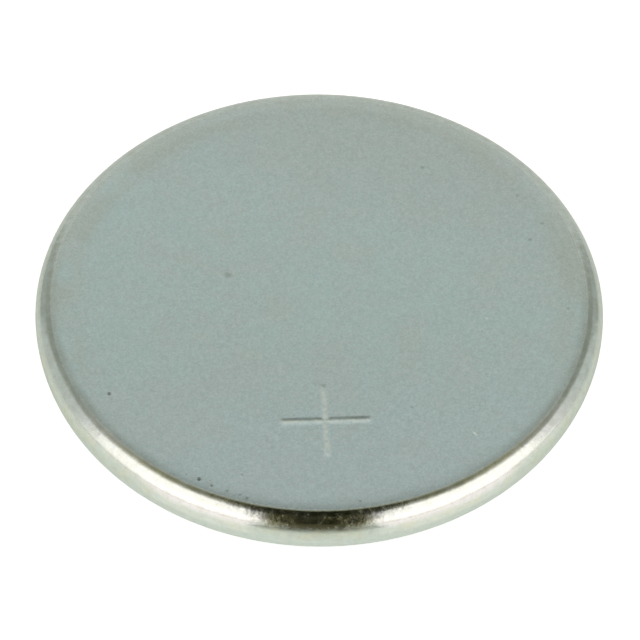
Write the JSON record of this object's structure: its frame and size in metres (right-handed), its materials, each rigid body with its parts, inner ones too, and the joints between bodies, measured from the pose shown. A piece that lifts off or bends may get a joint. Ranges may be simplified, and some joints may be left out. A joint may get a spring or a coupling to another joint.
{
  "type": "lithium coin cell",
  "caption": "Flat round lithium coin cell with a steel can curled over a sealing ring and a stepped steel cap.",
  "frame": {"origin": "centre of the negative cap's outer face, on the cell's axis", "axes": "+Z along the cell's axis, out of the positive face; X and Y across the cell, with -Y towards the picture's viewer"},
  "size_m": [0.0125, 0.0124, 0.0016],
  "materials": {
    "can_steel": "satin nickel-plated",
    "cap_steel": "satin nickel-plated",
    "gasket_resin": "smooth",
    "lithium_metal": "dull",
    "separator_fleece": "matte fleece",
    "cathode_mix": "matte pressed powder",
    "grid_steel": "plain"
  },
  "bodies": {
    "root": {"positive_can": "can_steel", "negative_cap": "cap_steel", "sealing_gasket": "gasket_resin", "lithium_disc": "lithium_metal", "separator": "separator_fleece", "cathode_pellet": "cathode_mix", "collector_grid": "grid_steel"}
  },
  "joints": []
}
